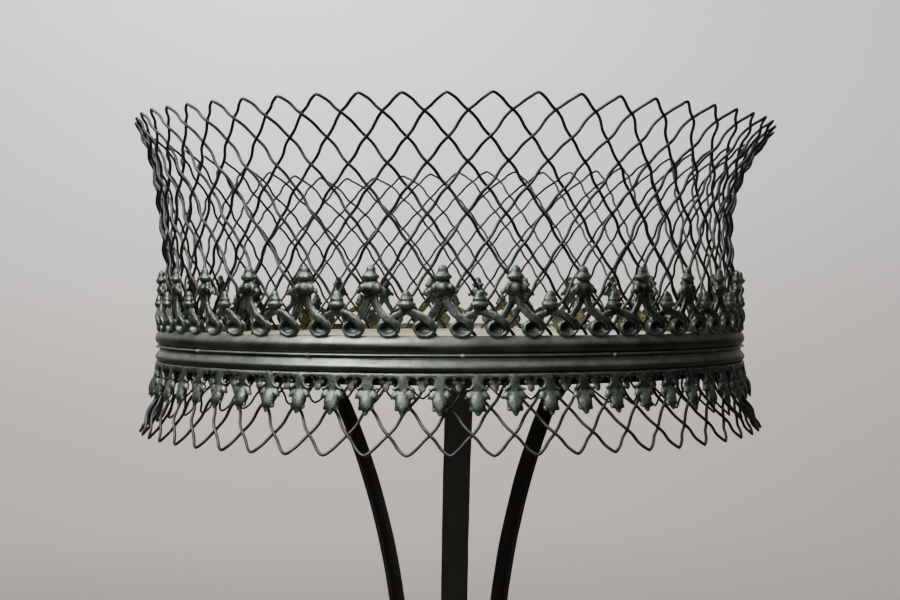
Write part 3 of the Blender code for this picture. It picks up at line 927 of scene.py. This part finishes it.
def keepLargestIsland(mesh):
    # tiny pockets where forms meet inside the metal are dropped
    shell = bmesh.new()
    shell.from_mesh(mesh)
    left = set(shell.verts)
    islands = []
    while left:
        island = []
        queue = [left.pop()]
        while queue:
            corner = queue.pop()
            island.append(corner)
            near = {edge.other_vert(corner) for edge in corner.link_edges} & left
            left -= near
            queue += near
        islands.append(island)
    islands.sort(key=len)
    pockets = [corner for island in islands[:-1] for corner in island]
    bmesh.ops.delete(shell, geom=pockets, context="VERTS")
    shell.to_mesh(mesh)
    shell.free()


def fuseCasting(places, faces):
    # closed forms that overlap become one skin, then softened and thinned
    block = newObject("casting", meshFrom(places, faces))
    fuse = block.modifiers.new("Fuse", "REMESH")
    fuse.mode = "VOXEL"
    fuse.voxel_size = castWork["voxel"]
    soften = block.modifiers.new("Soften", "SMOOTH")
    soften.factor = castWork["softenShare"]
    soften.iterations = castWork["soften"]
    thin = block.modifiers.new("Thin", "DECIMATE")
    thin.ratio = castWork["keep"]
    bpy.context.view_layer.update()
    graph = bpy.context.evaluated_depsgraph_get()
    mesh = bpy.data.meshes.new_from_object(block.evaluated_get(graph))
    bpy.data.objects.remove(block, do_unlink=True)
    keepLargestIsland(mesh)
    ways = [point.normal.copy() for point in mesh.vertices]
    for point, way in zip(mesh.vertices, ways):
        seat = point.co * castWork["lumpScale"]
        lump = noise.noise(seat) + 0.5 * noise.noise(seat * castWork["finerLumps"])
        point.co += way * castWork["lump"] * lump
    return mesh


def castLength(firstBay, bays, forms, placeOf):
    places = []
    faces = []
    for bay in range(firstBay, firstBay + bays):
        formPlaces, formFaces = forms[bay % len(forms)]
        start = len(places)
        places += [placeOf(bay, *place) for place in formPlaces]
        faces += [tuple(start + k for k in face) for face in formFaces]
    return fuseCasting(places, faces)


def turnedCopy(mesh, angle):
    copy = mesh.copy()
    c, s = cos(angle), sin(angle)
    for point in copy.vertices:
        x, y, z = point.co
        point.co = (x * c - y * s, x * s + y * c, z)
    return copy


def fromStock(stock, first, bays, forms, placeOf):
    # a length that was cast before is copied and turned to its place
    kind = (bays, first % len(forms))
    if kind not in stock:
        stock[kind] = (first, castLength(first, bays, forms, placeOf))
    madeAt, mesh = stock[kind]
    return turnedCopy(mesh, (first - madeAt) * bayAngle)


def addCastings():
    material = metalFinish("patinatedCasting", castWork["look"])
    lengths = castWork["lengths"]
    full = ceil(castWork["bays"] / lengths)
    crestBays = [crestBay(True), crestBay(False)]
    pendantBays = [pendantBay()]
    crests = {}
    pendants = {}
    for i in range(lengths):
        first = i * full - full // 2
        bays = min(full, castWork["bays"] - i * full)
        crest = fromStock(crests, first, bays, crestBays, crestPlace)
        addPiece(f"crest_casting_{i + 1}", crest, material, "cast_trim", f"crest_trim_{i + 1}")
        pendant = fromStock(pendants, first, bays, pendantBays, pendantPlace)
        addPiece(f"pendant_casting_{i + 1}", pendant, material, "cast_trim", f"pendant_trim_{i + 1}")
        print("scene: trim length", i + 1, len(crest.polygons), len(pendant.polygons))


addCastings()


# Floor pan: a thin painted sheet on the hoop

panWork = {
    "rings": 26,
    "steps": 120,
    "lipRounding": 0.3,
    "wave": 0.0004,
    "waveScale": 14.0,
    "calmRadius": 0.17,  # the waves die out from here to the edge
    "calmFade": 0.03,
    "paint": linear(0.5, 0.5, 0.39),
    "stained": linear(0.29, 0.265, 0.13),
    "rust": linear(0.07, 0.045, 0.025),
    "grainRoughness": 0.6,
    "stainScale": 40.0,
    "stainDetail": 6.0,
    "stain": (0.42, 0.62),
    "chipScale": 95.0,
    "chipDetail": 4.0,
    "chip": (0.6, 0.66),
    "chipShare": 0.8,
    "roughness": (0.42, 0.75),
    "bump": 0.3,
    "bumpDepth": 0.0003,
}


def panFinish():
    work = panWork
    material, tree, shader = newFinish("agedPaint")
    place = objectPlace(tree)
    stain = addNoise(tree, place, work["stainScale"], work["stainDetail"], work["grainRoughness"])
    stain = addRange(tree, stain, *work["stain"])
    chip = addNoise(tree, place, work["chipScale"], work["chipDetail"], work["grainRoughness"])
    chip = addRange(tree, chip, *work["chip"])
    colour = addMix(tree, stain, work["paint"], work["stained"])
    colour = addMix(tree, addProduct(tree, chip, work["chipShare"]), colour, work["rust"])
    tree.links.new(colour, shader.inputs["Base Color"])
    tree.links.new(addRange(tree, stain, 0.0, 1.0, *work["roughness"]), shader.inputs["Roughness"])
    addBump(tree, addMath(tree, "SUBTRACT", stain, chip), work["bump"], work["bumpDepth"])
    return material


def addPan():
    low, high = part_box("floor_pan")
    edge = nodeRadii("floor_pan")[1]
    lip = (high[2] - low[2]) / 2
    bevel = lip * panWork["lipRounding"]
    profile = [(edge * i / panWork["rings"], high[2]) for i in range(1, panWork["rings"])]
    profile += [(edge - lip, high[2]), (edge - bevel, high[2] - bevel), (edge, high[2] - lip)]
    profile += [(edge - bevel, low[2] + bevel), (edge - lip, low[2])]
    profile += [(edge * i / panWork["rings"], low[2]) for i in reversed(range(1, panWork["rings"]))]
    steps = panWork["steps"]
    places = []
    for radius, height in profile:
        for angle in turns(steps):
            place = ringPlace(radius, angle, height)
            calm = 1 - softStep((radius - panWork["calmRadius"]) / panWork["calmFade"])
            place.z += panWork["wave"] * calm * noise.noise(place * panWork["waveScale"])
            places.append(place)
    faces = [tuple(reversed(face)) for face in ringFaces(len(profile), steps)]
    last = (len(profile) - 1) * steps
    places += [upright(high[2]), upright(low[2])]
    middle = len(places) - 2
    for i in range(steps):
        faces.append((middle, i, (i + 1) % steps))
        faces.append((middle + 1, last + (i + 1) % steps, last + i))
    addPiece("floor_pan_sheet", meshFrom(places, faces), panFinish(), "pan", "floor_pan")


addPan()
print("scene: floor pan laid")


# Strap legs, bent from flat bar

legWork = {
    "count": 3,
    "frontAngle": radians(-86.5),
    "width": 0.019,
    "thickness": 0.0032,
    "corner": 0.0007,
    "tabEnd": 0.007,
    "tabStraight": 0.005,
    "armBelowHoop": 0.0028,
    "tabBend": 0.006,
    "knee": 0.053,
    "waistHeight": 0.332,
    "waistRadius": 0.0397,
    "bow": 0.5,
    "toeBend": 0.03,
    "toeLength": 0.014,
    "toeShares": (0.4, 0.8, 1.0),
    "steps": {"tab": 8, "arm": 12, "knee": 18, "bow": 60, "toe": 12},
    "hammer": 0.00025,
    "hammerScale": 55.0,
    "hammerApart": 3.0,  # so that no two legs are beaten alike
    "calmRise": 0.02,  # the soles stay flat, and the beating grows over this height
}


def legLine():
    leg = legWork
    armHeight = hoopBottom - leg["armBelowHoop"]
    tabRadius = hoopInner - clearance - leg["thickness"] / 2
    tabTop = (hoopTop + hoopBottom) / 2 + leg["tabEnd"]
    toeHeight = leg["thickness"] / 2
    bowCentre = (leg["waistRadius"] + leg["bow"], leg["waistHeight"])
    knee = asin((armHeight - leg["waistHeight"] - leg["knee"]) / (leg["bow"] - leg["knee"]))
    toe = asin((leg["waistHeight"] - toeHeight - leg["toeBend"]) / (leg["bow"] - leg["toeBend"]))
    kneeCentre = (bowCentre[0] - (leg["bow"] - leg["knee"]) * cos(knee), armHeight - leg["knee"])
    toeCentre = (bowCentre[0] - (leg["bow"] - leg["toeBend"]) * cos(toe), toeHeight + leg["toeBend"])
    kneeTurn = degrees(knee)
    toeTurn = degrees(toe)
    steps = leg["steps"]
    tabCentre = (tabRadius - leg["tabBend"], armHeight + leg["tabBend"])
    points = [(tabRadius, tabTop), (tabRadius, tabTop - leg["tabStraight"])]
    points += arcPoints(tabCentre, leg["tabBend"], 0, -90, steps["tab"])
    armStart, armEnd = points[-1][0], kneeCentre[0]
    arm = [i / steps["arm"] for i in range(1, steps["arm"])]
    points += [(armStart + (armEnd - armStart) * share, armHeight) for share in arm]
    points += arcPoints(kneeCentre, leg["knee"], 90, 180 - kneeTurn, steps["knee"])
    points += arcPoints(bowCentre, leg["bow"], 180 - kneeTurn, 180 + toeTurn, steps["bow"])[1:]
    points += arcPoints(toeCentre, leg["toeBend"], 180 + toeTurn, 270, steps["toe"])[1:]
    points += [(toeCentre[0] + leg["toeLength"] * share, toeHeight) for share in leg["toeShares"]]
    return points


def strapSection(width, thickness, corner, cornerSteps=3):
    points = []
    for x, y, start in ((1, 1, 0), (-1, 1, 90), (-1, -1, 180), (1, -1, 270)):
        centre = (x * (width / 2 - corner), y * (thickness / 2 - corner))
        points += arcPoints(centre, corner, start, start + 90, cornerSteps)
    return points


def addLegs():
    leg = legWork
    line = legLine()
    section = strapSection(leg["width"], leg["thickness"], leg["corner"])
    last = len(line) - 1
    halfWidth = leg["width"] / 2
    floorClear = leg["thickness"] / 2
    for i in range(leg["count"]):
        angle = leg["frontAngle"] + 2 * pi * i / leg["count"]
        outward = ringPlace(1.0, angle, 0.0)
        across = ringPlace(1.0, angle + pi / 2, 0.0)
        apart = Vector((i * leg["hammerApart"], 0.0, 0.0))
        form = ([], [])
        for k, (radius, height) in enumerate(line):
            along = (Vector(line[min(k + 1, last)]) - Vector(line[max(k - 1, 0)])).normalized()
            face = outward * -along.y + upright(along.x)
            centre = outward * radius + upright(height)
            calm = softStep((height - floorClear) / leg["calmRise"])
            for side, depth in section:
                place = centre + across * side + face * depth
                beat = noise.noise(place * leg["hammerScale"] + apart) * leg["hammer"] * calm
                place += face * copysign(beat, depth * beat) * 0.5
                form[0].append(place + across * beat * side / halfWidth)
        skinRings(form, 0, len(section))
        addPiece(f"strap_leg_{i + 1}", meshFrom(*form), blackIron, "strap_iron", f"leg_{i + 1}")


addLegs()
print("scene: legs bent")


# Rivets: domed heads, those of the band hammered wider

rivetWork = {
    "bandCount": 14,
    "sides": 20,
    "domeSteps": 5,
    "flatShare": 0.3,  # of the head's radius, the flat on top
    "footShare": 0.92,
    "sunk": 0.0002,  # how deep the head's foot goes into what it holds
    "rimShare": 0.9,  # points further from the middle than this are the head's rim
    "worn": (1.7, 1.4),  # times wider across, times prouder
    "plain": (1.0, 1.0),
    "look": dict(
        bandWork["look"],
        body=linear(0.085, 0.088, 0.072),
        rubbed=linear(0.34, 0.35, 0.28),
        wear=0.75,
    ),
}


def domeProfile(radius, height):
    points = [(radius * rivetWork["flatShare"], height)]
    for i in range(1, rivetWork["domeSteps"] + 1):
        turn = radians(90 - 90 * i / rivetWork["domeSteps"])
        points.append((radius * cos(turn), height * sin(turn)))
    points.append((radius * rivetWork["footShare"], -rivetWork["sunk"]))
    return points


def addRivet(node, material, outward, spread):
    low, high = (Vector(corner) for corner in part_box(node))
    points = [point.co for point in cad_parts[node].data.vertices]
    centre = sum((Vector(point) for point in points), Vector()) / len(points)
    angle = atan2(centre.y, centre.x)
    axis = ringPlace(1.0, angle, 0.0)
    across = ringPlace(1.0, angle + pi / 2, 0.0)
    reach = [point.to_2d().length for point in points]
    headRadius = max(abs(point.z - centre.z) for point in points)
    height = (high.z + low.z) / 2
    rim = headRadius * rivetWork["rimShare"]
    base = [r for r, point in zip(reach, points) if abs(point.z - height) > rim]
    seat = sum(base) / len(base)
    headHeight = max(reach) - seat if outward else seat - min(reach)
    facing = 1 if outward else -1
    sides = rivetWork["sides"]
    form = ([], [])
    for radius, rise in domeProfile(headRadius, headHeight * spread[1]):
        for turn in turns(sides):
            spoke = across * cos(turn) * spread[0] + upright(sin(turn))
            form[0].append(axis * (seat + facing * rise) + spoke * radius + upright(height))
    skinRings(form, 0, sides)
    mesh = meshFrom(*form)
    shell = bmesh.new()
    shell.from_mesh(mesh)
    bmesh.ops.recalc_face_normals(shell, faces=shell.faces)
    shell.to_mesh(mesh)
    shell.free()
    addPiece(node + "_head", mesh, material, "rivet", node)


def addRivets():
    worn = metalFinish("wornRivet", rivetWork["look"])
    for i in range(1, rivetWork["bandCount"] + 1):
        addRivet(f"band_rivet_{i:02d}", worn, True, rivetWork["worn"])
    for i in range(1, legWork["count"] + 1):
        addRivet(f"leg_rivet_{i}", blackIron, False, rivetWork["plain"])
        addRivet(f"waist_rivet_{i}", blackIron, True, rivetWork["plain"])


addRivets()
print("scene: rivets set")


# Stage, camera and light

stageWork = {
    "floorRadius": 2.6,
    "sweep": 1.4,
    "sweepSteps": 16,
    "top": 4.6,
    "steps": 96,
    "wallColour": linear(0.7, 0.69, 0.69),
    "floorColourWithPaintedShade": linear(0.42, 0.38, 0.343),
    "paintedShadeHeight": 1.6,
    "roughness": 0.9,
    "glow": 0.76,
}
cameraWork = {"distance": 0.987, "height": 0.64, "lens": 52.2, "sensor": 36.0}
lampWork = {
    "key": dict(place=(-0.55, -0.6, 1.42), aim=(0.0, -0.12, 0.6), size=0.7, power=6.9, spread=90),
    "fill": dict(place=(-0.35, -2.00, 1.1), aim=(0.0, 0.0, 0.62), size=1.2, power=2.6, spread=60),
    "wall": dict(place=(-0.6, 2.2, 3.3), aim=(-0.5, 4.00, 1.6), size=1.4, power=54.0, spread=120),
    "back": dict(place=(0.7, 1.9, 1.7), aim=(0.0, 0.1, 0.55), size=1.2, power=4.0, spread=70),
}
lampTint = (1.0, 0.987, 0.972)
skyWork = {"colour": linear(0.95, 0.97, 1.0), "strength": 0.05}


def addStage():
    # a round studio bowl: pale floor that sweeps up into a wall on every side
    work = stageWork
    profile = [(work["floorRadius"] * share, 0.0) for share in (0.25, 0.5, 0.75, 1.0)]
    bend = (work["floorRadius"], work["sweep"])
    profile += arcPoints(bend, work["sweep"], -90, 0, work["sweepSteps"])[1:]
    profile.append((work["floorRadius"] + work["sweep"], work["top"]))
    steps = work["steps"]
    places = []
    for radius, height in profile:
        places += [ringPlace(radius, angle, height) for angle in turns(steps)]
    faces = [tuple(reversed(face)) for face in ringFaces(len(profile), steps)]
    faces.append(tuple(range(steps)))
    mesh = meshFrom(places, faces)
    mesh.shade_smooth()
    material, tree, shader = newFinish("studioPaper")
    place = objectPlace(tree)
    height = addNode(tree, "ShaderNodeSeparateXYZ", None, Vector=place).outputs["Z"]
    # painted shade with a warm floor tone: darker at the floor, rising to the pale wall colour higher up;
    # the glow below carries this shade too
    rise = addRange(tree, height, 0.0, work["paintedShadeHeight"])
    colour = addMix(tree, rise, work["floorColourWithPaintedShade"], work["wallColour"])
    tree.links.new(colour, shader.inputs["Base Color"])
    shader.inputs["Roughness"].default_value = work["roughness"]
    tree.links.new(colour, shader.inputs["Emission Color"])
    seen = addNode(tree, "ShaderNodeLightPath").outputs["Is Camera Ray"]  # lights the paper, not the stand
    tree.links.new(addProduct(tree, seen, work["glow"]), shader.inputs["Emission Strength"])
    mesh.materials.append(material)
    paper = newObject("studio_paper", mesh)


def addLamp(name, lamp):
    data = bpy.data.lights.new(name, "AREA")
    data.shape = "DISK"
    data.size = lamp["size"]
    data.energy = lamp["power"]
    data.spread = radians(lamp["spread"])
    data.color = lampTint
    holder = newObject(name, data)
    holder.location = lamp["place"]
    holder.visible_camera = False
    way = Vector(lamp["aim"]) - Vector(lamp["place"])
    holder.rotation_euler = way.to_track_quat("-Z", "Y").to_euler()


def addCamera():
    data = bpy.data.cameras.new("camera")
    data.lens = cameraWork["lens"]
    data.sensor_width = cameraWork["sensor"]
    camera = newObject("camera", data)
    camera.location = (0.0, -cameraWork["distance"], cameraWork["height"])
    camera.rotation_euler = (radians(90), 0.0, 0.0)
    bpy.context.scene.camera = camera


addStage()
addCamera()
for lampName, lamp in lampWork.items():
    addLamp(lampName + "_lamp", lamp)
world = bpy.data.worlds.new("studio")
world.use_nodes = True
sky = world.node_tree.nodes["Background"].inputs
sky["Color"].default_value = skyWork["colour"]
sky["Strength"].default_value = skyWork["strength"]
bpy.context.scene.world = world
print("scene: stage lit")
